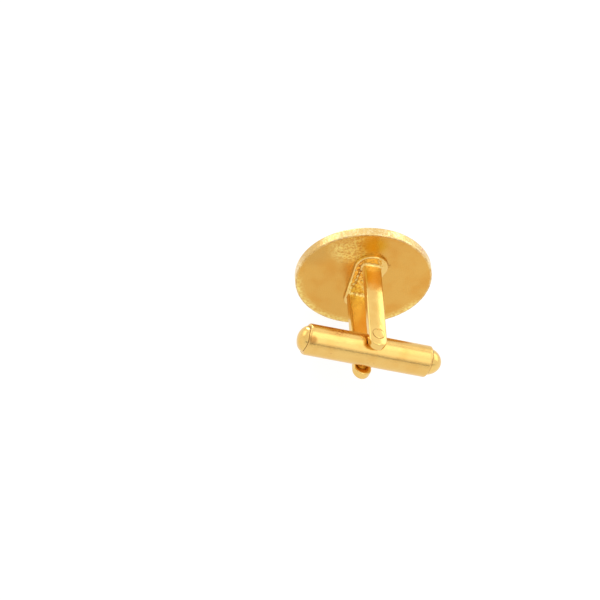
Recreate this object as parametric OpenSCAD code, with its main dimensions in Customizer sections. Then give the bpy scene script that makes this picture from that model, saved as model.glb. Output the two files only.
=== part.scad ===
// Round enamelled cufflink with a twin-leg post and a swivelling tube toggle.
// The origin is the middle of the medallion's flat back. The enamelled face looks towards -Y,
// the post rises along +Y, the pivot pin is upright along Z and the toggle lies along X.

/* [Medallion] */
// Diameter of the medallion
face_d = 18; // [15:0.5:24]
// Thickness of the medallion at its rim
edge_t = 1.3; // [1:0.05:2.5]
// Rise of the domed front above the rim
dome_rise = 0.55; // [0.3:0.05:1]
// Bevel round the front edge of the rim
rim_bevel = 0.2; // [0.05:0.05:0.4]
// Bevel round the edge of the flat back
back_bevel = 0.1; // [0.05:0.05:0.3]
// Depth of the sunk cells that hold the enamel
enamel_depth = 0.4; // [0.2:0.05:0.6]

/* [Star] */
// Number of rays, and of spokes round the centre
rays = 10; // [8:1:12]
// Radius of the centre disc
centre_r = 2.72; // [2.2:0.02:3.2]
// Width of the metal ring round the centre disc
hub_wall = 0.4; // [0.2:0.05:0.6]
// Length of the inner cells from hub ring to ray ring
inner_cell_l = 2.4; // [1.6:0.1:3]
// Width of the spokes between the inner cells
spoke_w = 0.48; // [0.2:0.02:0.7]
// Width of the metal ring inside the rays
ray_ring_w = 0.38; // [0.2:0.02:0.6]
// Width of the metal between a ray and its neighbours
star_wall = 0.6; // [0.3:0.05:0.7]
// Width of the metal rim outside the outer cells
rim_w = 0.48; // [0.3:0.02:0.8]

/* [Post] */
// Width of each leg
leg_w = 2.4; // [2:0.1:3]
// Thickness of each leg
leg_t = 1.2; // [0.8:0.05:1.6]
// Reach of each leg past the pivot axis
leg_end = 2; // [1.6:0.1:3]
// Gap between the toggle and each leg
side_gap = 0.35; // [0.1:0.05:0.8]
// Gap that the toggle's end leaves to the foot when it is turned in line with the post
swing_gap = 1.75; // [1:0.05:4]
// Width of the tapered foot at its wide end, under the upper leg
foot_w = 4.4; // [3.4:0.1:6]
// Width of the foot's rim on both sides of the lower leg, at its narrow end
tail_rim = 0.15; // [0.12:0.01:0.4]
// Reach of the foot past the outer face of each leg
foot_ledge = 1.45; // [1:0.05:2.2]
// Height of the foot above the medallion's back
foot_t = 0.5; // [0.3:0.05:0.8]
// Depth that the foot is let into the medallion's back
foot_seat = 0.25; // [0.1:0.05:0.4]
// Width of the foot's rim outside the fillets that run up the legs
foot_rim = 0.1; // [0.04:0.02:0.12]
// Radius of the fillet from the foot up the outer face of each leg
end_fillet = 0.2; // [0.1:0.05:1]
// Radius of the fillets from the foot up the narrow sides of each leg
side_fillet = 0.2; // [0.1:0.05:0.5]
// Radius of the fillets from the foot up the inner faces of the legs
inner_fillet = 0.5; // [0.1:0.1:1.5]

/* [Pivot pin] */
// Diameter of the pin
pin_d = 1.5; // [1.2:0.05:1.8]
// Width across the flats of its squared waist
waist_w = 1.1; // [0.95:0.05:1.15]
// Height of the riveted heads above the legs
rivet_h = 0.05; // [0.02:0.01:0.15]
// Running clearance between the pin and its holes in the tube, at the radius
pin_fit = 0.05; // [0.02:0.01:0.08]

/* [Toggle] */
// Outer diameter of the tube
tube_d = 4.2; // [3.8:0.1:5]
// Length of the tube
tube_l = 17; // [14:0.5:20]
// Wall of the tube
tube_wall = 0.45; // [0.3:0.05:0.6]
// Rounding of the tube's ends
tube_round = 0.3; // [0.1:0.05:0.35]
// Height of the domed caps beyond the tube
dome_h = 1.42; // [0.8:0.02:1.6]
// Step from the flat ring at the tube's end in to the foot of the dome
dome_step = 0.05; // [0.01:0.01:0.1]
// Length of the cap's spigot in the tube
spigot_l = 1.3; // [1:0.1:2]
// Clearance of the spigot in the tube, at the radius
spigot_fit = 0.01; // [0.005:0.005:0.03]

/* [Click springs] */
// Thickness of each spring strip
spring_t = 0.18; // [0.1:0.02:0.26]
// Width of each spring strip
spring_w = 2; // [1.4:0.1:2.2]
// Depth of the slots in the spigots that hold the springs
slot_depth = 0.8; // [0.4:0.1:0.9]
// Clearance all round a spring in its slots
slot_fit = 0.02; // [0.01:0.01:0.04]

/* [Hidden] */
// Extra length of every cutter, so that no cut ends on the face that it opens
overrun = 1;
// Half of the angle that a ray takes at its base, of half the pitch
ray_base_share = 0.733;
// Reach of a ray's tip, of the radius inside the rim
ray_tip_share = 0.993;
// Reach of the pin's squared waist past the springs, of the springs' width
waist_margin_share = 0.075;
dome_facets = 256;
round_facets = 96;

face_r = face_d / 2;
half_pitch = 180 / rays;
dome_r = (face_r * face_r + dome_rise * dome_rise) / (2 * dome_rise);
dome_centre_z = edge_t + dome_rise - dome_r;
hub_r = centre_r + hub_wall;
inner_cells_r = hub_r + inner_cell_l;
ray_base_r = inner_cells_r + ray_ring_w;
rim_inner_r = face_r - rim_w;
ray_tip_r = ray_tip_share * rim_inner_r;
ray_base_angle = ray_base_share * half_pitch;
// Angle between a ray's side and its middle line
ray_side_angle = atan2(ray_base_r * sin(ray_base_angle), ray_tip_r - ray_base_r * cos(ray_base_angle));
// Angle between a side of an outer cell and that cell's middle line
outer_side_angle = half_pitch + ray_side_angle;
outer_apex_r = ray_tip_r * (cos(half_pitch) - sin(half_pitch) / tan(outer_side_angle))
    + star_wall / sin(outer_side_angle);
inner_apex_r = spoke_w / 2 / sin(half_pitch);

tube_r = tube_d / 2;
bore_r = tube_r - tube_wall;
dome_foot_r = tube_r - tube_round - dome_step;
dome_sphere_r = (dome_foot_r * dome_foot_r + dome_h * dome_h) / (2 * dome_h);
slot_w = tube_d + 2 * side_gap;
leg_outer_z = slot_w / 2 + leg_t;
post_rise = foot_t + swing_gap + dome_h + tube_l / 2;
leg_top_y = post_rise + leg_end;
foot_l = 2 * (leg_outer_z + foot_ledge);
foot_wide_r = foot_w / 2;
foot_tail_r = leg_w / 2 + tail_rim;
foot_wide_z = foot_l / 2 - foot_wide_r;
foot_tail_z = foot_l / 2 - foot_tail_r;
// Angle between a side of the foot and its middle line
foot_taper = asin((foot_wide_r - foot_tail_r) / (foot_wide_z + foot_tail_z));
rivet_sphere_r = (pin_d * pin_d / 4 + rivet_h * rivet_h) / (2 * rivet_h);
waist_l = spring_w * (1 + 2 * waist_margin_share);
spring_l = tube_l - 2 * (spigot_l - slot_depth) - 2 * slot_fit;
spring_y = (waist_w + spring_t) / 2;

// Name of a numbered piece, with two digits
function numbered(stem, k) = str(stem, k < 10 ? "_0" : "_", k);

// Turns a shape drawn in the plane of the face, seen from the front, so that its height runs to the front
module on_face() {
    rotate([90, 0, 0]) children();
}

// Turns a shape drawn in the plane of the back so that its height rises along the post
module on_back() {
    rotate([-90, 0, 0]) children();
}

// Ball that the domed front is cut from, drawn in by a depth. Its poles lie far from the face.
module dome_ball(depth) {
    translate([0, 0, dome_centre_z]) rotate([90, 0, 0])
        sphere(r = dome_r - depth, $fn = dome_facets);
}

// Outline of one ray, pointing up, on the curved ring that it stands on. Its sides run on inside that ring
// to the points that are nearest to the medallion's middle.
module ray_outline() {
    near_r = ray_tip_r * sin(ray_side_angle);
    near_x = near_r * cos(ray_side_angle);
    near_y = near_r * sin(ray_side_angle);
    difference() {
        polygon([[-near_x, near_y], [near_x, near_y], [0, ray_tip_r]]);
        circle(r = ray_base_r, $fn = round_facets);
    }
}

// Wedge that opens upwards from its apex on the middle line
module wedge(apex, angle) {
    reach = face_d;
    polygon([[0, apex], [reach * sin(angle), apex + reach * cos(angle)],
             [-reach * sin(angle), apex + reach * cos(angle)]]);
}

// Outline of the cell between two spokes
module inner_outline() {
    intersection() {
        difference() {
            circle(r = inner_cells_r, $fn = round_facets);
            circle(r = hub_r, $fn = round_facets);
        }
        wedge(inner_apex_r, half_pitch);
    }
}

// Outline of the cell between two rays
module outer_outline() {
    intersection() {
        circle(r = rim_inner_r, $fn = round_facets);
        wedge(outer_apex_r, outer_side_angle);
    }
}

// Places an outline at ray k, clockwise from 12 o'clock as the wearer's company sees it
module at_ray(k) {
    rotate(-(k - 1) * 2 * half_pitch) children();
}

// Places an outline between ray k and the next
module after_ray(k) {
    rotate(-(2 * k - 1) * half_pitch) children();
}

// Space from a cell's floor out past the front, above any outline
module cell_space() {
    difference() {
        linear_extrude(edge_t + dome_rise + overrun) children();
        dome_ball(enamel_depth);
    }
}

// Enamel that fills a cell flush with the dome
module cell_fill() {
    intersection() {
        cell_space() children();
        dome_ball(0);
    }
}

// Struck blank: flat back, domed front and a bevel on both edges
module blank() {
    intersection() {
        rotate_extrude($fn = dome_facets)
            polygon([[0, 0], [face_r - back_bevel, 0], [face_r, back_bevel], [face_r, edge_t - rim_bevel],
                     [face_r - rim_bevel - dome_rise, edge_t + dome_rise], [0, edge_t + dome_rise]]);
        dome_ball(0);
    }
}

// Outline of the post's foot, widened all round by a fit: two round ends and the lines that touch both.
// The wide end comes under the upper leg.
module foot_outline(fit) {
    wide_r = foot_wide_r + fit;
    tail_r = foot_tail_r + fit;
    wide_x = wide_r * cos(foot_taper);
    wide_y = wide_r * sin(foot_taper) - foot_wide_z;
    tail_x = tail_r * cos(foot_taper);
    tail_y = tail_r * sin(foot_taper) + foot_tail_z;
    polygon([[wide_x, wide_y], [tail_x, tail_y], [-tail_x, tail_y], [-wide_x, wide_y]]);
    translate([0, -foot_wide_z]) circle(r = wide_r, $fn = round_facets);
    translate([0, foot_tail_z]) circle(r = tail_r, $fn = round_facets);
}

module medallion() {
    color("goldenrod") difference() {
        on_face() difference() {
            blank();
            cell_space() {
                circle(r = centre_r, $fn = round_facets);
                for (k = [1 : rays]) {
                    at_ray(k) ray_outline();
                    after_ray(k) inner_outline();
                    after_ray(k) outer_outline();
                }
            }
        }
        translate([0, -foot_seat, 0]) on_back()
            linear_extrude(foot_seat + overrun) foot_outline(slot_fit);
    }
}

module centre_enamel() {
    color("red") on_face() cell_fill() circle(r = centre_r, $fn = round_facets);
}

module ray_enamel(k) {
    color("red") on_face() cell_fill() at_ray(k) ray_outline();
}

module inner_enamel(k) {
    color("midnightblue") on_face() cell_fill() after_ray(k) inner_outline();
}

module outer_enamel(k) {
    color("navy") on_face() cell_fill() after_ray(k) outer_outline();
}

// Widened base of a shape that stands on the foot, with a hollow fillet up each side
module fillet_base(half_w, fillet) {
    difference() {
        square([2 * (half_w + fillet), 2 * (foot_t + fillet)], center = true);
        for (side = [-1, 1]) translate([side * (half_w + fillet), foot_t + fillet])
            circle(r = fillet, $fn = round_facets);
    }
}

// Slot between the legs, seen from the side, with round corners where it meets the foot
module slot_outline() {
    corner_y = foot_t + inner_fillet;
    corner_z = slot_w / 2 - inner_fillet;
    translate([-slot_w / 2, corner_y]) square([slot_w, leg_top_y]);
    translate([-corner_z, foot_t]) square([2 * corner_z, inner_fillet]);
    for (side = [-1, 1]) translate([side * corner_z, corner_y])
        circle(r = inner_fillet, $fn = round_facets);
}

// Both legs seen from the side, standing on the foot
module u_outline() {
    difference() {
        union() {
            translate([-leg_outer_z, 0]) square([2 * leg_outer_z, leg_top_y]);
            fillet_base(leg_outer_z, end_fillet);
        }
        slot_outline();
    }
}

// A leg seen square on, with its round end
module leg_outline() {
    translate([-leg_w / 2, 0]) square([leg_w, leg_top_y - leg_w / 2]);
    translate([0, leg_top_y - leg_w / 2]) circle(d = leg_w, $fn = round_facets);
    fillet_base(leg_w / 2, side_fillet);
}

module twin_leg_post() {
    color("gold") difference() {
        union() {
            translate([0, -foot_seat, 0]) on_back()
                linear_extrude(foot_seat + foot_t) foot_outline(0);
            intersection() {
                rotate([0, -90, 0]) linear_extrude(foot_w, center = true) u_outline();
                linear_extrude(foot_l, center = true) leg_outline();
                on_back() linear_extrude(leg_top_y + overrun) foot_outline(-foot_rim);
            }
        }
        translate([0, post_rise, 0])
            cylinder(d = pin_d, h = 2 * (leg_outer_z + overrun), center = true, $fn = round_facets);
    }
}

module pivot_pin() {
    color("darkgoldenrod") translate([0, post_rise, 0]) difference() {
        union() {
            cylinder(d = pin_d, h = 2 * leg_outer_z, center = true, $fn = round_facets);
            for (side = [0, 1]) mirror([0, 0, side]) translate([0, 0, leg_outer_z]) intersection() {
                translate([0, 0, rivet_h - rivet_sphere_r]) sphere(r = rivet_sphere_r, $fn = dome_facets);
                cylinder(d = pin_d, h = rivet_h + overrun, $fn = round_facets);
            }
        }
        for (turn = [0 : 90 : 270]) rotate(turn)
            translate([waist_w / 2, -pin_d, -waist_l / 2]) cube([pin_d, 2 * pin_d, waist_l]);
    }
}

// Lays a shape drawn upright along the toggle, with its middle on the pivot
module along_toggle() {
    translate([0, post_rise, 0]) rotate([0, 90, 0]) children();
}

// Section of the tube's wall, to the right of its axis, with rounded outer corners
module wall_section() {
    half_round_l = tube_l / 2 - tube_round;
    intersection() {
        translate([bore_r, -tube_l / 2]) square([tube_wall, tube_l]);
        union() {
            translate([0, -half_round_l]) square([tube_r, 2 * half_round_l]);
            translate([0, -tube_l / 2]) square([tube_r - tube_round, tube_l]);
            for (side = [-1, 1]) translate([tube_r - tube_round, side * half_round_l])
                circle(r = tube_round, $fn = round_facets);
        }
    }
}

module toggle_tube() {
    color("gold") difference() {
        along_toggle() rotate_extrude($fn = round_facets) wall_section();
        translate([0, post_rise, 0])
            cylinder(d = pin_d + 2 * pin_fit, h = tube_d + overrun, center = true, $fn = round_facets);
    }
}

// Click spring's strip, or the slot for it when widened by a fit
module spring_strip(fit) {
    for (side = [-1, 1]) translate([0, side * spring_y, 0])
        cube([spring_w + 2 * fit, spring_t + 2 * fit, spring_l + 2 * fit], center = true);
}

// Domed cap with the spigot that plugs the tube and holds the springs, for the tube's upper end
module end_cap() {
    difference() {
        union() {
            translate([0, 0, tube_l / 2]) intersection() {
                translate([0, 0, dome_h - dome_sphere_r]) sphere(r = dome_sphere_r, $fn = round_facets);
                cylinder(r = tube_r, h = dome_h + overrun, $fn = round_facets);
            }
            translate([0, 0, tube_l / 2 - spigot_l])
                cylinder(r = bore_r - spigot_fit, h = spigot_l, $fn = round_facets);
        }
        spring_strip(slot_fit);
    }
}

module right_end_cap() {
    color("gold") along_toggle() end_cap();
}

module left_end_cap() {
    color("gold") along_toggle() mirror([0, 0, 1]) end_cap();
}

module click_spring(side) {
    color("lightsteelblue") along_toggle() translate([0, side * spring_y, 0])
        cube([spring_w, spring_t, spring_l], center = true);
}

module front_click_spring() {
    click_spring(-1);
}

module rear_click_spring() {
    click_spring(1);
}

medallion();
centre_enamel();
for (k = [1 : rays]) {
    ray_enamel(k);
    inner_enamel(k);
    outer_enamel(k);
}
twin_leg_post();
pivot_pin();
toggle_tube();
left_end_cap();
right_end_cap();
front_click_spring();
rear_click_spring();
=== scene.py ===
"""Round enamelled cufflink with a twin-leg post and a swivelling tube toggle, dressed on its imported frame.

Shapes are worked out in millimetres and become metres when their mesh is made. The origin is the middle of
the medallion's flat back: its enamelled front looks to -Y, the post rises along +Y, the toggle lies along X.
"""

import bmesh
import bpy
import numpy as np
from mathutils import Matrix, Vector
from mathutils.geometry import delaunay_2d_cdt


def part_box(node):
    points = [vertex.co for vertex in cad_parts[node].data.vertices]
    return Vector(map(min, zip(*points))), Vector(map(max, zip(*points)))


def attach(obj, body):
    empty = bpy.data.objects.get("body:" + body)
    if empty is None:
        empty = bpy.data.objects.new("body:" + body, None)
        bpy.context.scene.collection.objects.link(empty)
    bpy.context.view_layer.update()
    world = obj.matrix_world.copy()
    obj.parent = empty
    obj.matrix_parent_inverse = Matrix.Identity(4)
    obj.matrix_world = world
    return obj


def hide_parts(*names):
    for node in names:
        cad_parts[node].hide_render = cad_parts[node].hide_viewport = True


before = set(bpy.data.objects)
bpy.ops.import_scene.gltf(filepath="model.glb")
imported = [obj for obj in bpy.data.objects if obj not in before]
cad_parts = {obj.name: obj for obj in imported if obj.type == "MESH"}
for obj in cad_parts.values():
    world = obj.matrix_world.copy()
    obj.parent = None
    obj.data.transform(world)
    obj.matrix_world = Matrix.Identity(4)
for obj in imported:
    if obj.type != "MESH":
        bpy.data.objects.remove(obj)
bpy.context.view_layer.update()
MM = 0.001

# Camera. It looks from above at the side that the post stands on, and the post points nearly straight down
# the picture. Its place is the photograph's, a long way off, so that the lines hardly converge.
view_azimuth, view_elevation, view_roll = np.radians([155.1, 44.8, -4.5])
view_distance = 1000
picture_px = 600
px_per_mm = 7.618
back_middle_px = (363.6, 279.4)
nearest_seen = 10


def unit(vector):
    """The vector divided by its length."""
    return vector / np.linalg.norm(vector)


def direction(azimuth, elevation):
    """Unit vector towards an azimuth, counted from -Y towards +X, and an elevation above the floor."""
    level = np.cos(elevation)
    return np.array([np.sin(azimuth) * level, -np.cos(azimuth) * level, np.sin(elevation)])


towards_camera = direction(view_azimuth, view_elevation)
across_post = unit(np.cross([0, -1, 0], towards_camera))
picture_right = np.cos(view_roll) * across_post + np.sin(view_roll) * np.cross(towards_camera, across_post)
picture_up = np.cross(towards_camera, picture_right)
camera_place = view_distance * towards_camera
aim = ((picture_px / 2 - back_middle_px[0]) * picture_right
       + (back_middle_px[1] - picture_px / 2) * picture_up) / px_per_mm
camera_back = unit(camera_place - aim)
camera_right = unit(np.cross(picture_up, camera_back))
camera_up = np.cross(camera_back, camera_right)
camera = bpy.data.objects.new("camera", bpy.data.cameras.new("camera"))
camera.matrix_world = (Matrix.Translation(camera_place * MM)
                       @ Matrix((camera_right, camera_up, camera_back)).transposed().to_4x4())
camera.data.lens = camera.data.sensor_width * px_per_mm * view_distance / picture_px
camera.data.clip_start = nearest_seen * MM
bpy.context.scene.collection.objects.link(camera)
bpy.context.scene.camera = camera
bpy.context.scene.view_settings.view_transform = "Standard"


# Floor. A pale sheet that the medallion's rim stands on. Part of its brightness is its own, so that it
# reads as white in the picture and in the metal and still takes a faint shadow.
floor_reach = 3000
floor_glow = 0.86
floor_shade = 0.22
floor_bounce = 0.75


def place(tree, kind, inputs=(), **settings):
    """A node with its settings. Each input is set to a value, or joined to another node's output."""
    node = tree.nodes.new(kind)
    for key, value in settings.items():
        setattr(node, key, value)
    for key, value in dict(inputs).items():
        if isinstance(value, bpy.types.NodeSocket):
            tree.links.new(value, node.inputs[key])
        else:
            node.inputs[key].default_value = value
    return node


def seen_directly(tree):
    """One for camera, glossy and transmission rays, and zero for the rays that only carry light."""
    path = place(tree, "ShaderNodeLightPath").outputs
    either = place(tree, "ShaderNodeMath", {0: path["Is Camera Ray"], 1: path["Is Glossy Ray"]},
                   operation="MAXIMUM")
    return place(tree, "ShaderNodeMath", {0: either.outputs[0], 1: path["Is Transmission Ray"]},
                 operation="MAXIMUM").outputs[0]


def grey(level):
    """A neutral colour of that level."""
    return (level, level, level, 1)


def empty_material(name):
    """A node material with nothing in it but its output."""
    material = bpy.data.materials.new(name)
    material.use_nodes = True
    material.node_tree.nodes.clear()
    return material, material.node_tree, place(material.node_tree, "ShaderNodeOutputMaterial")


floor_material, tree, output = empty_material("floor_sheet")
shown = place(tree, "ShaderNodeAddShader", {
    0: place(tree, "ShaderNodeEmission", {"Color": grey(1), "Strength": floor_glow}).outputs[0],
    1: place(tree, "ShaderNodeBsdfDiffuse", {"Color": grey(floor_shade)}).outputs[0]})
bounce = place(tree, "ShaderNodeBsdfDiffuse", {"Color": grey(floor_bounce)})
mix = place(tree, "ShaderNodeMixShader", {0: seen_directly(tree), 1: bounce.outputs[0], 2: shown.outputs[0]})
tree.links.new(mix.outputs[0], output.inputs["Surface"])

floor_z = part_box("medallion")[0].z / MM
corner_x, corner_y = np.array([[-1, 1, 1, -1], [-1, -1, 1, 1]]) * floor_reach
floor_corners = np.stack([corner_x, corner_y, np.full(4, floor_z)], 1)
floor_mesh = bpy.data.meshes.new("floor")
floor_mesh.from_pydata((floor_corners * MM).tolist(), [], [(0, 1, 2, 3)])
floor_mesh.materials.append(floor_material)
floor = bpy.data.objects.new("floor", floor_mesh)
bpy.context.scene.collection.objects.link(floor)


# Light. The surroundings are white where they are seen and a little dimmer where they only give light.
# Softboxes stand overhead, in front, behind and at both sides. A dark card gives the metal a line to show.
sky_light = 0.72
softboxes = {
    # name: (azimuth, elevation, distance, width, height, radiance)
    "overhead_softbox": (180, 84, 320, 420, 330, 0.3),
    "overhead_core": (-100, 76, 300, 260, 50, 0.9),
    "front_softbox": (-12, 44, 500, 620, 260, 0.1),
    "rear_softbox": (205, 46, 600, 300, 220, 0.45),
    "right_softbox": (56, 14, 400, 280, 190, 0.9),
    "left_softbox": (-70, 28, 450, 330, 210, 0.9),
    "narrow_softbox": (-38, 35, 500, 120, 150, 1.4),
    "window_softbox": (17, 17, 600, 60, 240, 13),
}

world = bpy.data.worlds.new("studio")
world.use_nodes = True
world.node_tree.nodes.clear()
bpy.context.scene.world = world
tree = world.node_tree
seen = place(tree, "ShaderNodeBackground", {"Color": grey(1), "Strength": 1})
giving = place(tree, "ShaderNodeBackground", {"Color": grey(1), "Strength": sky_light})
mix = place(tree, "ShaderNodeMixShader", {0: seen_directly(tree), 1: giving.outputs[0], 2: seen.outputs[0]})
tree.links.new(mix.outputs[0], place(tree, "ShaderNodeOutputWorld").inputs["Surface"])

for name, (azimuth, elevation, distance, width, height, radiance) in softboxes.items():
    lamp = bpy.data.lights.new(name, "AREA")
    lamp.shape = "RECTANGLE"
    lamp.size, lamp.size_y = width * MM, height * MM
    lamp.energy = radiance * np.pi * lamp.size * lamp.size_y
    softbox = bpy.data.objects.new(name, lamp)
    outwards = direction(*np.radians([azimuth, elevation]))
    softbox.location = outwards * distance * MM
    softbox.rotation_euler = Vector(outwards).to_track_quat("Z", "Y").to_euler()
    softbox.visible_camera = False
    bpy.context.scene.collection.objects.link(softbox)

card_distance = 260
card_elevation = np.radians(20)
card_height = 26
card_length = 900
card_shade = 0.2
card_material, tree, output = empty_material("dark_card")
dark = place(tree, "ShaderNodeBsdfDiffuse", {"Color": grey(card_shade)})
tree.links.new(dark.outputs[0], output.inputs["Surface"])
card_middle = card_distance * direction(np.pi, card_elevation)
card_up = direction(np.pi, card_elevation + np.pi / 2)
card_corners = [card_middle + side * card_length / 2 * np.array([1, 0, 0]) + rise * card_height / 2 * card_up
                for side, rise in ((-1, -1), (1, -1), (1, 1), (-1, 1))]
card_mesh = bpy.data.meshes.new("dark_card")
card_mesh.from_pydata((np.array(card_corners) * MM).tolist(), [], [(0, 1, 2, 3)])
card_mesh.materials.append(card_material)
card = bpy.data.objects.new("dark_card", card_mesh)
card.visible_camera = card.visible_diffuse = card.visible_shadow = False
bpy.context.scene.collection.objects.link(card)


# Medallion. A struck brass disc, gilt: a domed front with sunk cells between walls that stay level with
# it, a rim that the press left a little ragged, and a flat back that keeps the grain of the die.
front_low, front_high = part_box("medallion")
face_r = front_high.z / MM
front_h = -front_low.y / MM
edge_t = 1.3
rim_bevel = 0.2
back_bevel = 0.1
enamel_depth = 0.4
rays = 10
centre_r = 2.72
hub_wall = 0.4
inner_cell_l = 2.4
spoke_w = 0.48
ray_ring_w = 0.38
star_wall = 0.6
rim_w = 0.48
ray_base_share = 0.733
ray_tip_share = 0.993
corner_reach = 0.1
wall_wobble = 0.012
outline_points = 180
shoulder = 0.03
wall_row = 0.15
foot_wide_r = 2.2
foot_tail_r = 1.35
foot_half_l = 5.1
foot_seat = 0.25
foot_fit = 0.02
under_foot = 0.005
rim_points = 720
back_rings = 20
shear_h = 0.06
nick_depth = 0.09
nick_level = 0.2
sheared_in_share = 0.6
back_edge = 0.05
usual_crease = 40
same_place = 2e-5

dome_rise = front_h - edge_t
dome_r = (face_r ** 2 + dome_rise ** 2) / (2 * dome_rise)
half_pitch = np.pi / rays
hub_r = centre_r + hub_wall
inner_cells_r = hub_r + inner_cell_l
ray_base_r = inner_cells_r + ray_ring_w
rim_inner_r = face_r - rim_w
ray_tip_r = ray_tip_share * rim_inner_r
ray_base_angle = ray_base_share * half_pitch
ray_side_angle = np.arctan2(ray_base_r * np.sin(ray_base_angle),
                            ray_tip_r - ray_base_r * np.cos(ray_base_angle))
outer_side_angle = half_pitch + ray_side_angle
outer_apex_r = (ray_tip_r * (np.cos(half_pitch) - np.sin(half_pitch) / np.tan(outer_side_angle))
                + star_wall / np.sin(outer_side_angle))
chance = np.random.default_rng(10)


def polar(radius, clock_angle):
    """A point of the face as x + iz, at an angle clockwise from 12 o'clock as seen from the front."""
    return radius * (np.sin(clock_angle) + 1j * np.cos(clock_angle))


def even_loop(path, reach, count=outline_points, wobble=wall_wobble):
    """A closed outline at even steps. The path is sampled eight times a step, each sample becomes the mean of
    those within the reach on both sides, which rounds the corners, and a slow wave moves it in and out."""
    per_step = 8
    path = np.append(path, path[0])
    along = np.append(0, np.cumsum(np.abs(np.diff(path))))
    samples = np.interp(np.linspace(0, along[-1], per_step * count, endpoint=False), along, path)
    window = max(1, int(round(per_step * count * reach / along[-1])))
    wrapped = np.concatenate([samples[-window:], samples, samples[:window]])
    loop = np.convolve(wrapped, np.full(2 * window + 1, 1 / (2 * window + 1)), "valid")[::per_step]
    turn = np.linspace(0, 2 * np.pi, count, endpoint=False)
    waves = sum(np.sin(k * turn + chance.uniform(0, 2 * np.pi)) / k for k in (2, 3, 5, 7, 11, 13))
    return loop + wobble * waves * outwards_of(loop)


def outwards_of(loop):
    """Unit normals of a closed outline, away from what it holds."""
    along = np.roll(loop, -1) - np.roll(loop, 1)
    turning = np.sign(np.sum((np.conj(loop) * np.roll(loop, -1)).imag))
    return -1j * turning * along / np.abs(along)


def dome_height(point, sunk=0.0):
    """Height of the domed front above the flat back, on a sphere that is drawn in by the sunk depth."""
    return front_h - dome_r + np.sqrt((dome_r - sunk) ** 2 - np.abs(point) ** 2)


def on_front(point, sunk=0.0):
    """Points of the face in space, on the dome or sunk below it."""
    point, sunk = np.broadcast_arrays(point, sunk)
    return np.stack([point.real, -dome_height(point, sunk), point.imag], -1)


arc_share = np.linspace(-1, 1, 41)
inner_near, inner_far = (half_pitch - np.arcsin(spoke_w / 2 / r) for r in (hub_r, inner_cells_r))
outer_side_l = (np.sqrt(rim_inner_r ** 2 - (outer_apex_r * np.sin(outer_side_angle)) ** 2)
                - outer_apex_r * np.cos(outer_side_angle))
outer_corner = np.arctan2(outer_side_l * np.sin(outer_side_angle),
                          outer_apex_r + outer_side_l * np.cos(outer_side_angle))
ray_path = np.append(polar(ray_base_r, ray_base_angle * arc_share), polar(ray_tip_r, 0))
inner_path = np.append(polar(inner_cells_r, inner_far * arc_share), polar(hub_r, -inner_near * arc_share))
outer_path = np.append(polar(rim_inner_r, outer_corner * arc_share), polar(outer_apex_r, 0))

cells = {"centre_enamel": even_loop(polar(centre_r, np.linspace(0, 2 * np.pi, 361)[:-1]), corner_reach)}
for k in range(rays):
    at_ray, after_ray = (np.exp(-1j * half_pitch * steps) for steps in (2 * k, 2 * k + 1))
    cells[f"ray_enamel_{k + 1:02d}"] = even_loop(ray_path * at_ray, corner_reach)
    cells[f"inner_enamel_{k + 1:02d}"] = even_loop(inner_path * after_ray, corner_reach)
    cells[f"outer_enamel_{k + 1:02d}"] = even_loop(outer_path * after_ray, corner_reach)


def ring_quads(rows, around, closed_rows=False):
    """Faces that join each ring of a stack to the next, and the last to the first if the stack closes."""
    row = np.arange(rows if closed_rows else rows - 1)[:, None]
    step = np.arange(around)[None, :]
    here, after = row * around, (row + 1) % rows * around
    return np.stack(np.broadcast_arrays(here + step, here + (step + 1) % around,
                                        after + (step + 1) % around, after + step), -1).reshape(-1, 4)


def fan(ring, middle):
    """Triangles from the points of a ring to one middle point."""
    return np.stack([ring, np.roll(ring, -1), np.full_like(ring, middle)], 1)


def capped_stack(rings):
    """A closed skin from a stack of rings: quads between them, and a fan to the middle of both end rings."""
    rows, around = rings.shape[:2]
    points = np.concatenate([rings.reshape(-1, 3), rings[[0, -1]].mean(1)])
    first, last = np.arange(around), np.arange(around) + (rows - 1) * around
    caps = np.concatenate([fan(first[::-1], len(points) - 2), fan(last, len(points) - 1)])
    return points, [ring_quads(rows, around), caps]


def new_piece(name, points, faces, material, crease=usual_crease):
    """A mesh object of points in millimetres. Its faces are turned round if their signed volume is negative,
    and edges sharper than the crease, in degrees, stay sharp."""
    corners = np.concatenate([f[:, [0, i, i + 1]] for f in faces for i in range(1, f.shape[1] - 1)])
    a, b, c = points[corners].swapaxes(0, 1)
    if np.einsum("ij,ij", a, np.cross(b, c)) < 0:
        faces = [f[:, ::-1] for f in faces]
    mesh = bpy.data.meshes.new(name)
    mesh.vertices.add(len(points))
    mesh.vertices.foreach_set("co", (points * MM).astype(np.float32).ravel())
    corner_counts = np.concatenate([np.full(len(f), f.shape[1]) for f in faces])
    mesh.loops.add(int(corner_counts.sum()))
    mesh.loops.foreach_set("vertex_index", np.concatenate([f.ravel() for f in faces]).astype(np.int32))
    mesh.polygons.add(len(corner_counts))
    mesh.polygons.foreach_set("loop_start", (np.cumsum(corner_counts) - corner_counts).astype(np.int32))
    mesh.update(calc_edges=True)
    mesh.polygons.foreach_set("use_smooth", np.ones(len(corner_counts), bool))
    mesh.set_sharp_from_angle(angle=np.radians(crease))
    mesh.materials.append(material)
    piece = bpy.data.objects.new(name, mesh)
    bpy.context.scene.collection.objects.link(piece)
    return piece


def weld(piece):
    """Joins the points of a piece that lie in the same place, turns its faces outwards and marks its sharp
    edges again."""
    shape = bmesh.new()
    shape.from_mesh(piece.data)
    bmesh.ops.remove_doubles(shape, verts=shape.verts, dist=same_place * MM)
    bmesh.ops.recalc_face_normals(shape, faces=shape.faces)
    shape.to_mesh(piece.data)
    shape.free()
    piece.data.set_sharp_from_angle(angle=np.radians(usual_crease))


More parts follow.
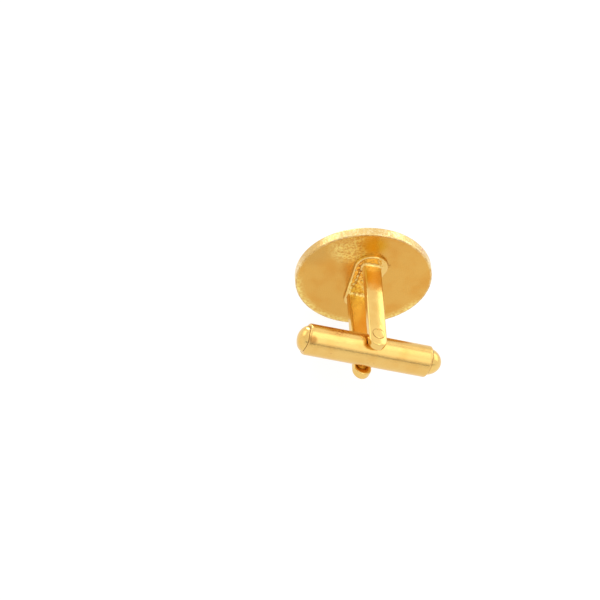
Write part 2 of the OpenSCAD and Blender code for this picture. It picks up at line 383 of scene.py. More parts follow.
def new_group(name, inputs, outputs):
    """A shader node group with named sockets, and its input and output nodes."""
    group = bpy.data.node_groups.new(name, "ShaderNodeTree")
    for label, value in inputs.items():
        kind = "Float" if np.isscalar(value) else "Color" if len(value) == 4 else "Vector"
        socket = group.interface.new_socket(label, in_out="INPUT", socket_type="NodeSocket" + kind)
        socket.default_value = value
    for label, kind in outputs.items():
        group.interface.new_socket(label, in_out="OUTPUT", socket_type="NodeSocket" + kind)
    return group, place(group, "NodeGroupInput").outputs, place(group, "NodeGroupOutput").inputs


def noise(tree, vector, per_mm, detail=2.0, rough=0.5):
    """Noise from 0 to 1 over a vector in millimetres."""
    return place(tree, "ShaderNodeTexNoise", {"Vector": vector, "Scale": per_mm, "Detail": detail,
                                              "Roughness": rough}).outputs["Fac"]


def remap(tree, value, low, high, to_low=0.0, to_high=1.0):
    """A value moved from one range to another in a smooth step, and held at the ends."""
    return place(tree, "ShaderNodeMapRange", {
        "Value": value, "From Min": low, "From Max": high, "To Min": to_low, "To Max": to_high},
        interpolation_type="SMOOTHSTEP").outputs[0]


def times(tree, one, other, operation="MULTIPLY"):
    """Two values multiplied, or joined by another operation."""
    return place(tree, "ShaderNodeMath", {0: one, 1: other}, operation=operation).outputs[0]


def mixed(tree, share, one, other):
    """One colour passing into another as the share goes from 0 to 1."""
    return place(tree, "ShaderNodeMix", {"Factor": share, "A": one, "B": other},
                 data_type="RGBA").outputs["Result"]


def point_mm(tree):
    """The point of the surface in millimetres."""
    return place(tree, "ShaderNodeVectorMath", {0: place(tree, "ShaderNodeTexCoord").outputs["Object"],
                                                "Scale": 1 / MM}, operation="SCALE").outputs[0]


def stretched(tree, point, factors):
    """A point multiplied by a factor along each axis."""
    return place(tree, "ShaderNodeVectorMath", {0: point, 1: factors}, operation="MULTIPLY").outputs[0]


def apart(tree, one, other):
    """The distance between two points."""
    return place(tree, "ShaderNodeVectorMath", {0: one, 1: other}, operation="DISTANCE").outputs["Value"]


# Gold plating lies thinner and redder in patches, and copper shows through in a few pinpricks.
plating, given, result = new_group(
    "plating", {"Gold": (0.776, 0.485, 0.127, 1), "Warm": (0.7, 0.33, 0.06, 1), "Patch Size": 2.0,
                "Warmth": 0.5, "Spot": (0.32, 0.07, 0.02, 1), "Spot Share": 0.25},
    {"Colour": "Color", "Spots": "Float"})
point = point_mm(plating)
patches = noise(plating, point, times(plating, 1.0, given["Patch Size"], "DIVIDE"), 3)
toned = mixed(plating, times(plating, remap(plating, patches, 0.42, 0.72), given["Warmth"]),
              given["Gold"], given["Warm"])
where = remap(plating, noise(plating, point, 0.45, 1), 0.52, 0.64)
pricks = remap(plating, noise(plating, point, 5.5, 2), 0.66, 0.72)
spots = times(plating, times(plating, where, pricks), given["Spot Share"])
plating.links.new(mixed(plating, spots, toned, given["Spot"]), result["Colour"])
plating.links.new(spots, result["Spots"])

# Fine lines that a polishing mop leaves, stretched along one way, with slower dents under them.
mop_lines, given, result = new_group(
    "mop_lines", {"Stretch": (1.0, 1.0, 1.0), "Line Depth": 0.2, "Dent Depth": 1.0},
    {"Height": "Float", "Lines": "Float"})
point = point_mm(mop_lines)
lines = noise(mop_lines, stretched(mop_lines, point, given["Stretch"]), 9, 3, 0.6)
dents = noise(mop_lines, point, 0.9, 1)
height = times(mop_lines, times(mop_lines, lines, given["Line Depth"]),
               times(mop_lines, dents, given["Dent Depth"]), "ADD")
mop_lines.links.new(height, result["Height"])
mop_lines.links.new(lines, result["Lines"])

# A mask for inner corners, where the gold gets painted shade.
corner_mask, given, result = new_group("corner_mask", {"Reach": 0.06}, {"Corner": "Float"})
pointed = place(corner_mask, "ShaderNodeNewGeometry").outputs["Pointiness"]
hollow = times(corner_mask, 0.5, pointed, "SUBTRACT")
corner_mask.links.new(remap(corner_mask, hollow, 0.005, given["Reach"]), result["Corner"])

# Sand from the die shows in a patch round one place, and beyond a radius along the back's lower rim.
sandy, given, result = new_group(
    "sandy", {"Centre": (0.0, 0.0, 0.0), "Reach": 3.0, "Rim Radius": 100.0},
    {"Share": "Float", "Grains": "Float"})
point = point_mm(sandy)
in_patch = place(sandy, "ShaderNodeMapRange", {
    "Value": apart(sandy, point, given["Centre"]), "From Min": given["Reach"], "From Max": 0.0,
    "To Max": 2.2}).outputs[0]
point_xyz = place(sandy, "ShaderNodeSeparateXYZ", {0: point}).outputs
low_behind = times(sandy, remap(sandy, point_xyz["Y"], -1.2, -1.0), remap(sandy, point_xyz["Z"], -1.0, -3.5))
from_middle = place(sandy, "ShaderNodeVectorMath", {0: point}, operation="LENGTH").outputs["Value"]
past_radius = times(sandy, from_middle, given["Rim Radius"], "SUBTRACT")
at_rim = times(sandy, remap(sandy, past_radius, 0.0, 1.3), low_behind)
broken = remap(sandy, noise(sandy, point, 0.7, 2), 0.3, 0.6, 0.5, 1.0)
share = times(sandy, times(sandy, in_patch, at_rim, "MAXIMUM"), broken)
sandy.links.new(times(sandy, share, 1.0, "MINIMUM"), result["Share"])
sandy.links.new(noise(sandy, point, 2.6, 2, 0.6), result["Grains"])


def stain_share(tree, centre, reach, most, ring_r=0.0, specks_per_mm=0.0, speck_level=0.6):
    """How much a stain covers: most at its centre, or on a ring round it, fading over its reach. It may be
    broken into specks."""
    point = point_mm(tree)
    past_ring = times(tree, apart(tree, point, centre), ring_r, "SUBTRACT")
    off_ring = place(tree, "ShaderNodeMath", {0: past_ring}, operation="ABSOLUTE")
    share = remap(tree, off_ring.outputs[0], reach, 0.3 * reach, 0.0, most)
    if specks_per_mm:
        specks = remap(tree, noise(tree, point, specks_per_mm, 1), speck_level, speck_level + 0.08)
        share = times(tree, share, specks)
    return share


# Painted shade, mixed into the gold in its inner corners.
corner_shade = (0.34, 0.12, 0.02, 1)
# Painted highlight for the rising sand grains, and painted shade for the sunken ones.
sand_crest_highlight = (1, 0.82, 0.27, 1)
sand_pit_shade = (0.62, 0.3, 0.04, 1)
front_blend = 0.15


def gold(name, gold_colour, warm_colour, stretch, dent_depth, roughness, patch_size=2.4, warmth=0.35,
         spot_share=0.5, line_depth=0.35, rough_spread=0.03, sand=None, stains=(), front=None):
    """Gilt brass. Its colour comes from the plating, painted shade in its inner corners and its stains, some
    of them painted light, and its gloss from the mop lines. Sand, given by its centre, reach, rim radius and
    depth, gets a painted highlight where its grains rise and painted shade where they sink. The front of the
    medallion may have two colours of its own, which pass into each other in clouds, and its own stains. A
    stain is its colour and what stain_share needs."""
    material, tree, output = empty_material(name)
    plate = place(tree, "ShaderNodeGroup", {
        "Gold": gold_colour, "Warm": warm_colour, "Patch Size": patch_size, "Warmth": warmth,
        "Spot Share": spot_share}, node_tree=plating)
    mop = place(tree, "ShaderNodeGroup", {
        "Stretch": stretch, "Line Depth": line_depth, "Dent Depth": dent_depth}, node_tree=mop_lines)
    in_corner = place(tree, "ShaderNodeGroup", {"Reach": 0.06}, node_tree=corner_mask).outputs["Corner"]
    # Painted shade in the inner corners.
    colour = mixed(tree, times(tree, in_corner, 0.45), plate.outputs["Colour"], corner_shade)
    rough = times(tree, remap(tree, mop.outputs["Lines"], 0.3, 0.7, roughness - rough_spread,
                              roughness + rough_spread), times(tree, plate.outputs["Spots"], 0.3), "ADD")
    height = mop.outputs["Height"]
    if sand:
        centre, reach, rim_radius, depth = sand
        grit = place(tree, "ShaderNodeGroup", {"Centre": centre, "Reach": reach, "Rim Radius": rim_radius},
                     node_tree=sandy)
        share, grains = grit.outputs["Share"], grit.outputs["Grains"]
        # Painted highlight where the sand's grains rise and painted shade where they sink, by grain height.
        crests = times(tree, share, remap(tree, grains, 0.44, 0.56, 0.35, 1.0))
        pit_shade = times(tree, share, remap(tree, grains, 0.43, 0.33, 0.0, 0.4))
        colour = mixed(tree, crests, colour, sand_crest_highlight)
        colour = mixed(tree, pit_shade, colour, sand_pit_shade)
        height = times(tree, height, times(tree, times(tree, grains, share), depth), "ADD")
        rough = times(tree, rough, times(tree, share, 0.12), "ADD")
    for stain_colour, *where in stains:
        colour = mixed(tree, stain_share(tree, *where), colour, stain_colour)
    if front:
        pale, deep, *front_stains = front
        clouds = mixed(tree, remap(tree, noise(tree, point_mm(tree), 0.8, 3), 0.35, 0.65), pale, deep)
        for stain_colour, *where in front_stains:
            clouds = mixed(tree, stain_share(tree, *where), clouds, stain_colour)
        place_y = place(tree, "ShaderNodeSeparateXYZ", {0: point_mm(tree)}).outputs["Y"]
        colour = mixed(tree, remap(tree, place_y, front_blend - edge_t, -edge_t), colour, clouds)
    bump = place(tree, "ShaderNodeBump", {"Height": height, "Strength": 1, "Distance": 0.01 * MM})
    shader = place(tree, "ShaderNodeBsdfPrincipled", {"Base Color": colour, "Metallic": 1, "Roughness": rough,
                                                      "Normal": bump.outputs[0]})
    tree.links.new(shader.outputs[0], output.inputs["Surface"])
    return material


brown = (0.34, 0.13, 0.02, 1)
warm_brown = (0.5, 0.22, 0.04, 1)
tarnish = (0.4, 0.27, 0.07, 1)
blush = (0.69, 0.345, 0.012, 1)
# Painted shade for the rim's +X side.
rim_side_shade = (0.6, 0.34, 0.08, 1)
copper_pink = (0.75, 0.33, 0.22, 1)
# Painted sheen for the rim wall.
rim_painted_sheen = (0.87, 0.64, 0.28, 1)
# Painted glints for the rim.
rim_glint = (0.95, 0.78, 0.42, 1)
rim_middle = (0, -0.6, 0)
edge_line_w = 0.13
behind = (0, 2, 0)
behind_to_edge_line = np.hypot(face_r - edge_line_w, behind[1])
satin_gold = gold(
    "satin_gold", (0.735, 0.405, 0.085, 1), (0.68, 0.29, 0.035, 1), stretch=(1, 1, 1), dent_depth=3.0,
    roughness=0.26, patch_size=3.0, warmth=0.5, spot_share=0.3, line_depth=0.5, rough_spread=0.04,
    sand=((3.3, 0, 5.5), 3.6, 7.6, 6.0),
    stains=[(blush, (1.0, 0, 6.8), 2.5, 0.9),
            # Painted sheen over the rim wall.
            (rim_painted_sheen, rim_middle, 0.3, 0.7, face_r),
            # Painted glints speckled over the rim.
            (rim_glint, rim_middle, 0.3, 0.6, face_r, 3.2, 0.5),
            (warm_brown, rim_middle, 0.3, 0.25, face_r, 3.7, 0.6),
            # Painted shade darkening the rim on its +X side.
            (rim_side_shade, (8.4, -0.7, 3.2), 3.6, 0.6),
            (warm_brown, behind, edge_line_w, 0.5, behind_to_edge_line, 1.6, 0.45),
            (brown, (-2.1, 0, 3.5), 0.6, 0.8, 0, 4.0, 0.5),
            (copper_pink, (-5.8, -0.6, 6.9), 0.9, 0.8, 0, 3.0, 0.5)],
    front=((0.92, 0.69, 0.35, 1), (0.85, 0.58, 0.23, 1),
           (tarnish, (-1.65, -1.6, 5.65), 0.9, 0.8), (tarnish, (1.65, -1.6, 5.65), 0.9, 0.8)))


def ragged(angle, slowest, fastest, seed):
    """A wave of one that runs round the rim unevenly: sines whose height falls with their number."""
    dice = np.random.default_rng(seed)
    numbers = np.arange(slowest, fastest)
    phases = dice.uniform(0, 2 * np.pi, len(numbers))
    heights = dice.uniform(0.3, 1, len(numbers)) / numbers ** 0.5
    wave = (heights[:, None] * np.sin(numbers[:, None] * angle + phases[:, None])).sum(0)
    return wave / np.abs(wave).max()


def foot_outline(fit):
    """The foot's outline as x + iz, clockwise from its wide upper end, widened by a fit. It holds a wide and
    a narrow disc: each way round, it takes the point of the disc that reaches further that way."""
    discs = ((foot_wide_r, 1), (foot_tail_r, -1))
    join_reach = 0.02
    way = polar(1, np.linspace(0, 2 * np.pi, 721)[:-1])
    wide_reach, tail_reach = (r + side * (foot_half_l - r) * way.imag for r, side in discs)
    wide, tail = (side * 1j * (foot_half_l - r) + (r + fit) * way for r, side in discs)
    return even_loop(np.where(wide_reach > tail_reach, wide, tail), join_reach, rim_points, 0)


def holds(loop, points):
    """Whether each point lies within a closed outline: seen from there, the outline goes once all round."""
    away = loop[None] - points[:, None]
    return np.abs(np.angle(np.roll(away, -1, 1) / away).sum(1)) > np.pi


turn = np.linspace(0, 2 * np.pi, rim_points, endpoint=False)
rim_turn = polar(1, turn)
loops = {name: loop + shoulder * outwards_of(loop) for name, loop in cells.items()}
web_r = face_r - rim_bevel
rim_loop = web_r * rim_turn
flat = np.concatenate([rim_loop, *loops.values()])
starts = np.append(0, np.cumsum([rim_points] + [len(loop) for loop in loops.values()]))
edges = np.concatenate([np.stack([np.arange(a, b), np.append(np.arange(a + 1, b), a)], 1)
                        for a, b in zip(starts[:-1], starts[1:])])
flat_places = np.stack([flat.real, flat.imag], 1).tolist()
web_flat, _, web_faces, *_ = delaunay_2d_cdt(flat_places, edges.tolist(), [], 1, 1e-6, False)
web_flat = np.array(web_flat) @ np.array([1, 1j])
web_faces = np.array(web_faces)
middles = web_flat[web_faces].mean(1)
web_faces = web_faces[~np.any([holds(loop, middles) for loop in loops.values()], 0)]

# The walls of a cell go round its shoulder and down to its floor.
shoulder_angle = np.linspace(0, np.pi / 2, 4)[:, None]
shells = [(on_front(web_flat), [web_faces])]
for loop in cells.values():
    sideways = outwards_of(loop)
    rows = [on_front(loop + shoulder * (1 - np.sin(shoulder_angle)) * sideways,
                     shoulder * (1 - np.cos(shoulder_angle)))]
    rows.append(on_front(loop[None], np.array([[wall_row], [enamel_depth]])))
    walls = np.concatenate(rows)
    points = np.concatenate([walls.reshape(-1, 3), walls[-1].mean(0)[None]])
    bottom = np.arange(len(loop)) + (len(walls) - 1) * len(loop)
    shells.append((points, [ring_quads(len(walls), len(loop)), fan(bottom, len(points) - 1)]))

# The rim goes over the front bevel, down its sheared side, over the back bevel and in to the foot's recess.
sheared = shear_h * ragged(turn, slowest=3, fastest=90, seed=1)
nicks = nick_depth * np.clip(ragged(turn, slowest=20, fastest=150, seed=2) - nick_level, 0, None)
bevel_turn = np.repeat(np.linspace(0, np.pi / 2, 7)[1:, None], rim_points, 1)
edge_h = dome_height(web_r)
front_bevel = np.stack([web_r + rim_bevel * np.sin(bevel_turn),
                        edge_h - rim_bevel * (1 - np.cos(bevel_turn))], -1)
down_side = np.linspace(0, 1, 9)[1:, None]
back_edge_h = back_bevel + back_edge + sheared
sheared_in = (np.abs(sheared) + nicks) * np.sin(np.pi / 2 * down_side) ** 2 * sheared_in_share
side = np.stack([face_r - sheared_in, (edge_h - rim_bevel) * (1 - down_side) + back_edge_h * down_side], -1)
back_turn = np.linspace(0, np.pi / 2, 5)[1:, None]
back_r = side[-1, :, 0] - back_bevel - back_edge
back_round = np.stack([back_r + (side[-1, :, 0] - back_r) * np.cos(back_turn),
                       back_edge_h * (1 - np.sin(back_turn))], -1)
profile = np.concatenate([front_bevel, side, back_round])
rim = np.stack([profile[..., 0] * rim_turn.real, -profile[..., 1], profile[..., 0] * rim_turn.imag], -1)
recess = foot_outline(foot_fit)
inwards = np.linspace(0, 1, back_rings)[1:, None]
back = (1 - inwards) * back_r * rim_turn + inwards * recess
back = np.stack([back.real, np.zeros(back.shape), back.imag], -1)
recess_floor = np.stack([recess.real, np.full(rim_points, -foot_seat - under_foot), recess.imag], -1)[None]
rings = np.concatenate([on_front(rim_loop)[None], rim, back, recess_floor])
points = np.concatenate([rings.reshape(-1, 3), rings[-1].mean(0)[None]])
bottom = np.arange(rim_points) + (len(rings) - 1) * rim_points
shells.append((points, [ring_quads(len(rings), rim_points), fan(bottom, len(points) - 1)]))

points = np.concatenate([shell_points for shell_points, _ in shells])
first = np.cumsum([0] + [len(shell_points) for shell_points, _ in shells])
faces = [f + start for start, (_, shell_faces) in zip(first, shells) for f in shell_faces]
medallion = new_piece("medallion_disc", points, faces, satin_gold)
weld(medallion)
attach(medallion, "medallion_and_post")
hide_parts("medallion")


# Enamel. Glass melted into each cell and ground level with the walls: red in the centre and the rays, navy
# between them. Each fill is a little crowned, and it draws down where it meets its wall.
fill_gap = 0.004
fill_edge = 0.03
fill_sink = 0.022
floor_gap = 0.006
fill_row = 0.2
crown_rings = 11
innermost_share = 0.97
ring_spread = 1.3
dark_edge = 0.13
enamel_roughness = 0.09


def enamel(name, colour, deep_colour, edge_colour):
    """Opaque glass enamel. Slow clouds pass from one shade to a deeper one, it is dark where it thins out
    along its wall, and the ground surface has a few faint scratches in its gloss."""
    material, tree, output = empty_material(name)
    point = point_mm(tree)
    clouds = mixed(tree, remap(tree, noise(tree, point, 0.55, 3), 0.35, 0.7), colour, deep_colour)
    from_wall = place(tree, "ShaderNodeAttribute", attribute_name="from_wall").outputs["Fac"]
    shade = mixed(tree, remap(tree, from_wall, 0.03, dark_edge, 0.9, 0.0), clouds, edge_colour)
    marks = remap(tree, noise(tree, stretched(tree, point, (2.2, 1.0, 0.25)), 3.5, 3), 0.62, 0.72)
    rough = times(tree, enamel_roughness, times(tree, marks, 0.1), "ADD")
    wave = times(tree, noise(tree, point, 0.8, 1), times(tree, noise(tree, point, 7, 2), 0.06), "ADD")
    bump = place(tree, "ShaderNodeBump", {"Height": wave, "Strength": 1, "Distance": 0.012 * MM})
    shader = place(tree, "ShaderNodeBsdfPrincipled", {"Base Color": shade, "Roughness": rough, "IOR": 1.5,
                                                      "Specular IOR Level": 0.12, "Normal": bump.outputs[0]})
    tree.links.new(shader.outputs[0], output.inputs["Surface"])
    return material


def enamel_fill(name, loop, material):
    """A closed skin from a cell's outline: up its side, round its edge, and over the crown, where each ring
    is the outline drawn in towards its middle and lifted by a quarter sine. Each point of the crown keeps how
    far it has been drawn in, in millimetres."""
    inner = loop - fill_gap * outwards_of(loop)
    middle = inner.mean()
    lip = np.linspace(0, np.pi / 2, 4)[:, None]
    edge = on_front(inner - fill_edge * (1 - np.cos(lip)) * outwards_of(loop),
                    fill_sink + fill_edge * (1 - np.sin(lip)))
    drawn_in = inner - fill_edge * outwards_of(loop)
    share = (np.linspace(0, innermost_share, crown_rings + 1)[1:, None]) ** ring_spread
    crown = on_front(middle + (drawn_in - middle) * (1 - share), fill_sink * (1 - np.sin(share * np.pi / 2)))
    side = on_front(inner[None], np.array([[enamel_depth - floor_gap], [fill_row]]))
    fill = new_piece(name, *capped_stack(np.concatenate([side, edge, crown])), material, crease=60)
    # The sides count as nothing drawn in. The last two points are the middles of the bottom and the crown.
    drawn = np.zeros((len(side) + len(edge), len(loop)))
    drawn = np.append(np.concatenate([drawn, share * np.abs(drawn_in - middle)]), [0, 1])
    from_wall = fill.data.attributes.new("from_wall", "FLOAT", "POINT")
    from_wall.data.foreach_set("value", drawn.astype(np.float32))
    return fill


red_enamel = enamel("red_enamel", (0.60, 0.006, 0.001, 1), (0.55, 0.003, 0.001, 1), (0.2, 0.012, 0.003, 1))
navy_enamel = enamel("navy_enamel", (0.0035, 0.0055, 0.105, 1), (0.005, 0.004, 0.07, 1),
                     (0.004, 0.003, 0.02, 1))
for name, loop in cells.items():
    colour = "navy" if name.startswith(("inner", "outer")) else "red"
    piece = enamel_fill(name.replace("enamel", "fill"), loop, navy_enamel if colour == "navy" else red_enamel)
    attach(piece, "medallion_and_post")
    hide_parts(name)


# Twin-leg post. Cast in brass, soldered to the back by its tapered foot, then filed, mopped and gilt. Legs,
# foot, solder and fillets run into each other, so its skin is drawn where one distance formula is zero.
tube_low, tube_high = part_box("toggle_tube")
pivot_y = (tube_low.y + tube_high.y) / 2 / MM
tube_r = (tube_high.z - tube_low.z) / 2 / MM
leg_top_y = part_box("twin_leg_post")[1].y / MM
leg_w = 2.4
leg_t = 1.2
side_gap = 0.35
foot_t = 0.5
inner_fillet = 0.5
leg_edge = 0.24
leg_crown = 0.13
foot_edge = 0.2
solder_reach = 0.24
outer_solder_reach = 0.46
crumb_h = 0.014
crumbs_from_y = 0.1
crumbs_rise = 0.2
crumbs_to_y = 1.2
crumbs_fall = 0.6
pin_r = 0.75
head_r = 0.79
bore_fit = 0.01
skin_step = 0.085
leg_inner_z = tube_r + side_gap
leg_outer_z = leg_inner_z + leg_t


def rounded_meet(one, other, radius):
    """Distance to what two shapes share: the larger of both distances, but where both come within the radius
    of the edge, the distance to a round of that radius."""
    one, other = one + radius, other + radius
    return np.minimum(np.maximum(one, other), 0) + np.hypot(np.maximum(one, 0), np.maximum(other, 0)) - radius


def soldered(one, other, reach):
    """Distance to two shapes together: the smaller distance, less a hump where they differ by less than the
    reach, which fills the corner between them with a fillet."""
    return np.minimum(one, other) - np.maximum(reach - np.abs(one - other), 0) ** 2 / reach / 4


def post_distance(x, y, z):
    """Distance in millimetres to the post: two legs with a slot between them and crowned outer faces, seen
    from the side, shared with a round-ended leg, seen from the front, soldered to a rounded plate, less the
    bore for the pin. The plate's outline is nearest on its wide end, its narrow end or the line that touches
    both. The solder reaches further outside the legs than in the slot, and products of sines raise crumbs of
    it on the plate and the roots of the legs."""
    z_away = np.abs(z)
    slot = rounded_meet(z_away - leg_inner_z, foot_t - y, inner_fillet)
    outer_face = leg_outer_z - leg_crown * (x / leg_w * 2) ** 2
    side_view = np.maximum(np.maximum(z_away - outer_face, -slot), -y)
    leg = np.hypot(x, np.maximum(y - (leg_top_y - leg_w / 2), 0)) - leg_w / 2
    legs = rounded_meet(side_view, leg, leg_edge)
    wide_z, tail_z = foot_half_l - foot_wide_r, foot_tail_r - foot_half_l
    sine = (foot_wide_r - foot_tail_r) / (wide_z - tail_z)
    cosine = np.sqrt(1 - sine ** 2)
    along = (wide_z - z) * cosine - np.abs(x) * sine
    line = np.abs(x) * cosine + (wide_z - z) * sine - foot_wide_r
    ends = np.where(along < 0, np.hypot(x, z - wide_z) - foot_wide_r, np.hypot(x, z - tail_z) - foot_tail_r)
    outline = np.where((along > 0) & (along < (wide_z - tail_z) * cosine), line, ends)
    plate = rounded_meet(outline, np.abs(y - (foot_t - foot_seat) / 2) - (foot_t + foot_seat) / 2, foot_edge)
    crumbs = (np.sin(5.1 * x + 2.3 * z) * np.sin(4.3 * z - 3.7 * x + 1)
              + np.sin(8.3 * x - 1.9 + 2 * y) * np.sin(7.7 * z + 0.6))
    at_foot = (np.clip((y - crumbs_from_y) / crumbs_rise, 0, 1)
               * np.clip((crumbs_to_y - y) / crumbs_fall, 0, 1))
    outside = np.clip((z_away - leg_inner_z) / leg_t, 0, 1)
    reach = solder_reach + (outer_solder_reach - solder_reach) * outside
    whole = np.maximum(soldered(legs, plate, reach) - crumb_h * crumbs * at_foot, -foot_seat - y)
    return np.maximum(whole, pin_r + bore_fit - np.hypot(x, y - pivot_y))


def skin(distance, low, high, step):
    """The surface where a distance formula is zero. Space is cut into cubes. Each cube that the surface goes
    through gets one point, the mean of the crossings on its edges, and the four cubes round a crossed edge
    share a face. Then the points move along the formula's slope until it is zero, by at most a quarter of a
    cube at a time."""
    axes = [np.arange(a, b + step, step) for a, b in zip(low, high)]
    grid = np.stack(np.meshgrid(*axes, indexing="ij"))
    value = distance(*grid)
    cubes = np.array(value.shape) - 1
    total, hits, crossings = np.zeros((3, *cubes)), np.zeros(cubes, int), []
    for axis in range(3):
        u, v = (axis + 1) % 3, (axis + 2) % 3
        lower, upper = [slice(None)] * 3, [slice(None)] * 3
        lower[axis], upper[axis] = slice(None, -1), slice(1, None)
        near, far = value[tuple(lower)], value[tuple(upper)]
        crossed = (near < 0) != (far < 0)
        point = grid[(slice(None), *lower)] * crossed
        point[axis] += step * np.divide(near, near - far, out=np.zeros_like(near), where=crossed)
        for along_u in (0, 1):
            for along_v in (0, 1):
                pick = [slice(None)] * 3
                pick[u], pick[v] = slice(along_u, along_u + cubes[u]), slice(along_v, along_v + cubes[v])
                total += point[(slice(None), *pick)]
                hits += crossed[tuple(pick)]
        crossings.append((np.argwhere(crossed), near[crossed] < 0))
    number = np.cumsum(hits > 0).reshape(hits.shape) - 1
    points = (total[:, hits > 0] / hits[hits > 0]).T
    faces = []
    for axis, (at, starts_inside) in enumerate(crossings):
        one_u, one_v = np.eye(3, dtype=int)[[(axis + 1) % 3, (axis + 2) % 3]]
        quads = np.stack([number[tuple((at - shift).T)]
                          for shift in (one_u + one_v, one_v, np.zeros(3, int), one_u)], 1)
        faces.append(np.where(starts_inside[:, None], quads, quads[:, ::-1]))
    nudge = step / 50
    for _ in range(4):
        slope = np.stack([(distance(*(points + nudge * way).T) - distance(*(points - nudge * way).T))
                          / (2 * nudge) for way in np.eye(3)], 1)
        move = slope * (distance(*points.T) / (slope ** 2).sum(1))[:, None]
        points = points - move / np.maximum(1, np.linalg.norm(move, axis=1) / (step / 4))[:, None]
    return points, [np.concatenate(faces)]


bright_gold = gold(
    "bright_gold", (0.84, 0.56, 0.175, 1), (0.74, 0.38, 0.07, 1), stretch=(1, 0.12, 1), dent_depth=2.2,
    roughness=0.19, sand=((0.3, 0.5, -1.0), 2.2, 100, 5.0),
    stains=[(brown, (0, pivot_y, side * leg_outer_z), 0.08, 0.45, head_r + 0.03) for side in (-1, 1)])
skin_high = np.array([foot_wide_r, leg_top_y, foot_half_l]) + 2 * skin_step
skin_low = (-skin_high[0], -foot_seat - 2 * skin_step, -skin_high[2])
post = new_piece("post_and_legs", *skin(post_distance, skin_low, skin_high, skin_step), bright_gold,
                 crease=50)
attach(post, "medallion_and_post")
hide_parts("twin_leg_post")


# Pivot pin. Brass wire, squared off inside the tube for the click springs, pushed through and riveted over
# at both ends. The tool left a flat on one side of each head.
pin_half_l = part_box("pivot_pin")[1].z / MM
head_flat = 0.64
head_seat = 0.07
waist_half_w = 0.545
waist_half_l = 1.15
waist_row = 0.5
step_l = 0.005
hair = 0.001
pin_points = 96

# The rings of the head as (radius, depth below its top), and then one half of the pin as (radius, place along
# it): over the head, through the leg and along the waist.
head_rings = ((0.02, 0), (0.35, 0), (0.62, 0.01), (0.75, 0.03), (head_r, 0.045))
head = [[r, pin_half_l - depth] for r, depth in head_rings]
shank = [[head_r, leg_outer_z - head_seat], [pin_r, leg_outer_z - head_seat - step_l],
         [pin_r, (leg_outer_z + waist_half_l) / 2], [pin_r, waist_half_l + 4 * step_l],
         [pin_r, waist_half_l], [pin_r, waist_half_l - step_l], [pin_r, waist_row]]
half = np.array(head + shank)
profile = np.concatenate([half, half[::-1] * (1, -1)])
turn = np.linspace(0, 2 * np.pi, pin_points, endpoint=False)
x, y = profile[:, :1] * np.sin(turn), profile[:, :1] * np.cos(turn)
z = np.broadcast_to(profile[:, 1:], x.shape)
in_waist = np.abs(z) < waist_half_l - hair
x, y = (np.where(in_waist, np.clip(way, -waist_half_w, waist_half_w), way) for way in (x, y))
y = np.where(np.abs(z) > leg_outer_z - hair, np.maximum(y, -head_flat), y)
pin = new_piece("pivot_rivet", *capped_stack(np.stack([x, y + pivot_y, z], -1)), bright_gold, crease=35)
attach(pin, "medallion_and_post")
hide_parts("pivot_pin")


# Toggle tube. Drawn brass tube with rolled-over ends and a hole each side for the pin. Its ends aren't quite
# square: the seams with the caps wander.
tube_half_l = tube_high.x / MM
tube_wall = 0.45
end_round = 0.3
mouth_bevel = 0.02
tube_around = 192
tube_hole_r = 0.8
drill_around = 96
drill_half_l = 3
right_shift = 0.33
right_lean = 0.19
right_wave = 0.05
left_shift = 0.3
left_lean = 0.12
wander_reach = 2.5
wander_past_end = 1.42
bore_r = tube_r - tube_wall


def wander(x, angle):
    """Shift along the toggle of a point near its ends, by its angle round the toggle from +Y towards +Z. Each
    seam leans and waves by a few tenths, and the shift dies out towards the middle and the tips."""
    right = (right_shift + right_lean * np.cos(angle + np.radians(20))
             + right_wave * np.cos(5 * angle + np.radians(20)))
    left = left_shift - left_lean * np.sin(angle - np.radians(60))
    inside = np.clip((np.abs(x) - tube_half_l + wander_reach) / wander_reach, 0, 1)
    outside = np.clip(1 - (np.abs(x) - tube_half_l) / wander_past_end, 0, 1)
    return np.where(x > 0, right, left) * np.minimum(inside * inside * (3 - 2 * inside), outside)


def revolved(profile, around):
    """Rings round the toggle's axis for a profile of (place along it, radius), moved by the seams' wander."""
    angle = np.linspace(0, 2 * np.pi, around, endpoint=False)[None]
    x, r = profile[:, :1], profile[:, 1:]
    return np.stack([x + wander(x, angle), pivot_y + r * np.cos(angle), r * np.sin(angle)], -1)


def mirrored(half):
    """A profile for the +X end followed by its mirror image for the other end."""
    return np.concatenate([half, half[::-1] * (-1, 1)])


rust = (0.42, 0.06, 0.015, 1)
worn_orange = (0.76, 0.36, 0.07, 1)
worn_place = (5.0, pivot_y - 1.0, 1.85)
barrel_gold = gold(
    "barrel_gold", (0.81, 0.52, 0.16, 1), (0.72, 0.36, 0.07, 1), stretch=(0.12, 1, 1), dent_depth=1.6,
    roughness=0.23,
    stains=[(worn_orange, worn_place, 2.4, 0.5), (rust, worn_place, 1.5, 0.75, 0, 3.4, 0.55),
            (brown, (8.4, pivot_y + 1.35, 1.6), 0.8, 0.7)])
corner = np.linspace(0, np.pi / 2, 9)[1:]
outside = np.linspace(0, 1, 40)[1:] * (tube_half_l - end_round)
bore = np.linspace(1, 0, 24)[1:-1] * (tube_half_l - mouth_bevel)
tube_half = np.concatenate([
    np.stack([outside, np.full(len(outside), tube_r)], 1),
    np.stack([tube_half_l - end_round + end_round * np.sin(corner),
              tube_r - end_round + end_round * np.cos(corner)], 1),
    [[tube_half_l, bore_r + mouth_bevel], [tube_half_l - mouth_bevel, bore_r]],
    np.stack([bore, np.full(len(bore), bore_r)], 1)])
rings = revolved(mirrored(tube_half), tube_around)
tube_faces = [ring_quads(len(rings), tube_around, True)]
tube = new_piece("toggle_barrel", rings.reshape(-1, 3), tube_faces, barrel_gold)
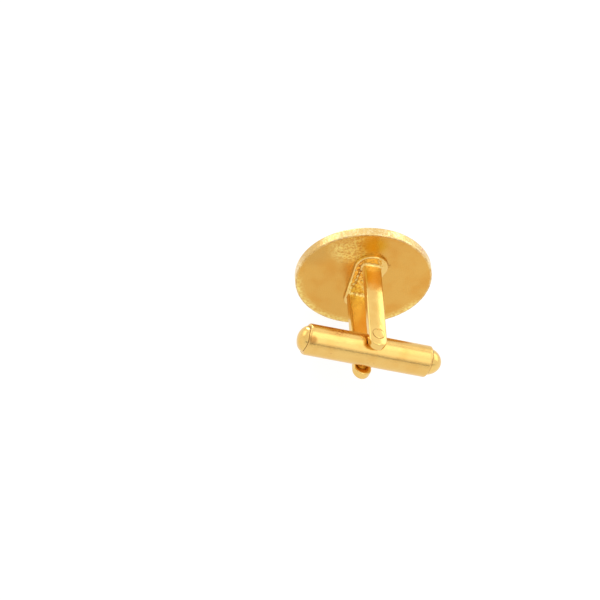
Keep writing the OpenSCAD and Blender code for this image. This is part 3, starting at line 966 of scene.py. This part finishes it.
drill_turn = np.linspace(0, 2 * np.pi, drill_around, endpoint=False)
drill_x, drill_y = tube_hole_r * np.sin(drill_turn), pivot_y + tube_hole_r * np.cos(drill_turn)
drill_rings = np.stack([np.stack([drill_x, drill_y, np.full(drill_around, z)], -1)
                        for z in (-drill_half_l, drill_half_l)])
drill = new_piece("drill", *capped_stack(drill_rings), bright_gold)
cut = tube.modifiers.new("pin_holes", "BOOLEAN")
cut.operation, cut.solver, cut.object = "DIFFERENCE", "EXACT", drill
bpy.context.view_layer.update()
tube.data = bpy.data.meshes.new_from_object(tube.evaluated_get(bpy.context.evaluated_depsgraph_get()))
tube.modifiers.clear()
tube.data.set_sharp_from_angle(angle=np.radians(usual_crease))
bpy.data.objects.remove(drill)
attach(tube, "toggle")
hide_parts("toggle_tube")


# End caps. Turned brass domes, each with a spigot that plugs the tube. They stand a hair proud of it, which
# leaves a dark seam round their foot.
cap_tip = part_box("right_end_cap")[1].x / MM
spigot_l = 1.3
spigot_fit = 0.04
spigot_bevel = 0.1
spigot_neck = 0.12
seam_w = 0.07
cap_foot_r = 1.76
cap_lip = 0.03
tip_turn = 0.02
cap_around = 144
dome_l = cap_tip - tube_half_l - seam_w
sphere_r = (cap_foot_r ** 2 + dome_l ** 2) / (2 * dome_l)
dome_turn = np.linspace(tip_turn, np.arcsin(cap_foot_r / sphere_r), 28)[:, None]
dome = np.concatenate([cap_tip - sphere_r * (1 - np.cos(dome_turn)), sphere_r * np.sin(dome_turn)], 1)
spigot_r = bore_r - spigot_fit
spigot = [[tube_half_l + seam_w, cap_foot_r - cap_lip], [tube_half_l + seam_w, bore_r - spigot_neck],
          [tube_half_l - spigot_bevel, spigot_r], [tube_half_l - spigot_l + spigot_bevel, spigot_r],
          [tube_half_l - spigot_l, spigot_r - spigot_bevel]]
cap_profile = np.concatenate([dome, spigot])
for side, node in ((1, "right_end_cap"), (-1, "left_end_cap")):
    cap_rings = revolved(cap_profile * (side, 1), cap_around)
    cap = new_piece("bullet_" + node, *capped_stack(cap_rings), bright_gold, crease=35)
    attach(cap, "toggle")
    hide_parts(node)


# Click springs. Two strips of bright rolled steel inside the tube, which grip the pin's squared waist and end
# in the spigots' slots. They are plain strips, so they keep the shape of their frame nodes.
def rolled_steel(name):
    """Steel strip: a plain grey with long rolling lines in its gloss and height."""
    material, tree, output = empty_material(name)
    lines = noise(tree, stretched(tree, point_mm(tree), (0.1, 1, 1)), 12, 3)
    bump = place(tree, "ShaderNodeBump", {"Height": lines, "Strength": 1, "Distance": 0.004 * MM})
    shader = place(tree, "ShaderNodeBsdfPrincipled", {
        "Base Color": mixed(tree, lines, (0.52, 0.53, 0.55, 1), (0.62, 0.63, 0.65, 1)), "Metallic": 1,
        "Roughness": remap(tree, lines, 0.3, 0.7, 0.22, 0.34), "Normal": bump.outputs[0]})
    tree.links.new(shader.outputs[0], output.inputs["Surface"])
    return material


spring_steel = rolled_steel("rolled_steel")
for node in ("front_click_spring", "rear_click_spring"):
    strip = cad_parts[node]
    strip.data.materials.clear()
    strip.data.materials.append(spring_steel)
